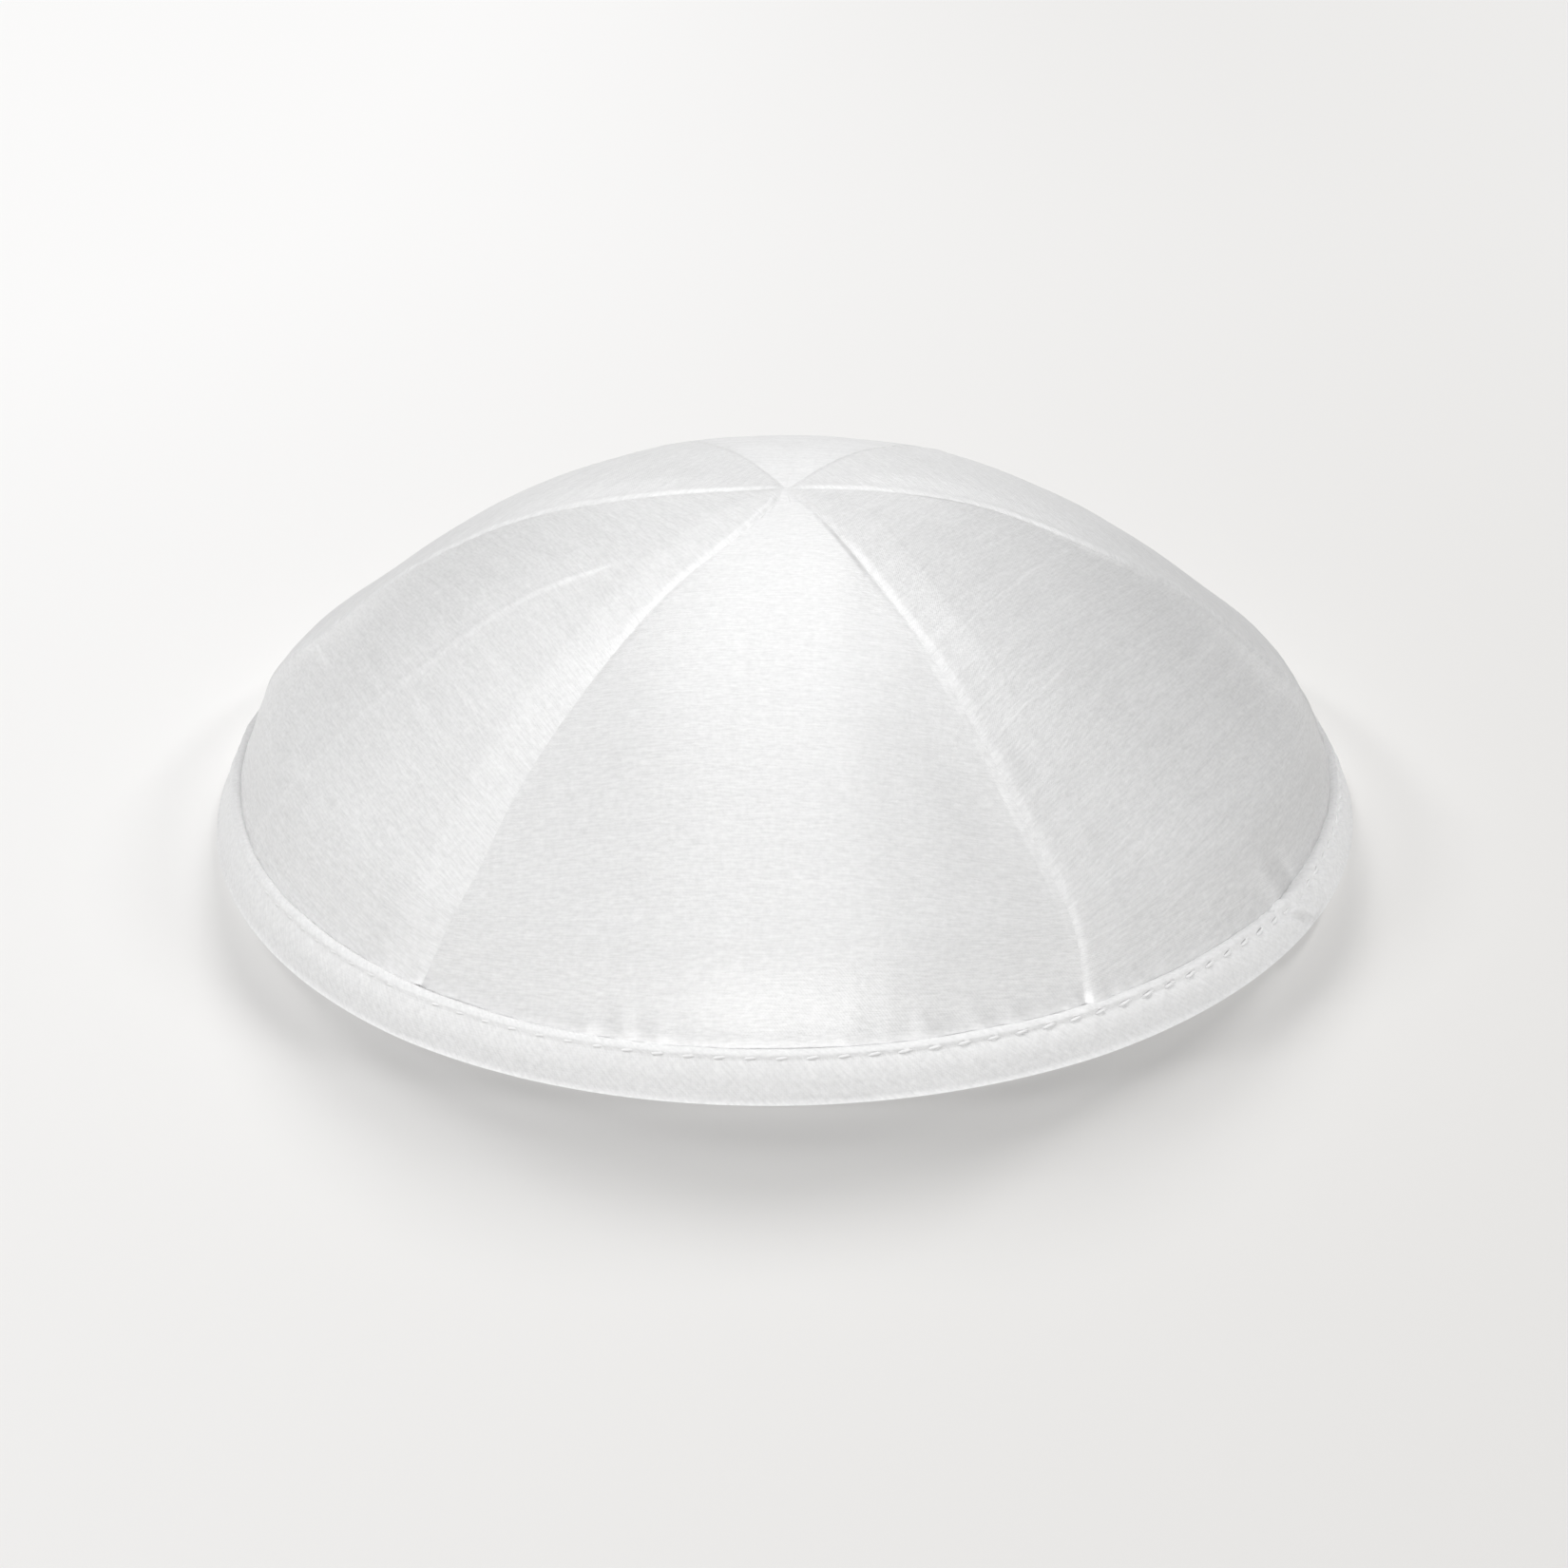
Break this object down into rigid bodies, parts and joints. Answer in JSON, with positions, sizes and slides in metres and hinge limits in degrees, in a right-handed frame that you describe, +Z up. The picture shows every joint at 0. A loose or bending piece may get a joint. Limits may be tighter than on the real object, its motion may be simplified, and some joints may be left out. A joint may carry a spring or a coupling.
{
  "type": "kippah skullcap",
  "caption": "Round skullcap of white silk gores sewn from crown to rim, with a folded binding round its edge, resting on its rim.",
  "frame": {"origin": "middle of the rim's underside, on the surface that the cap rests on", "axes": "+Z up through the crown; the front panel faces -Y; +X is to the right seen from the front"},
  "size_m": [0.1769, 0.1755, 0.0476],
  "materials": {
    "white_silk": "white slubbed silk with a soft lengthwise sheen",
    "white_binding": "white bias strip with a fine matt satin grain"
  },
  "bodies": {
    "root": {"panel_front": "white_silk", "panel_front_right": "white_silk", "panel_back_right": "white_silk", "panel_back": "white_silk", "panel_back_left": "white_silk", "panel_front_left": "white_silk", "rim_binding": "white_binding"}
  },
  "joints": []
}
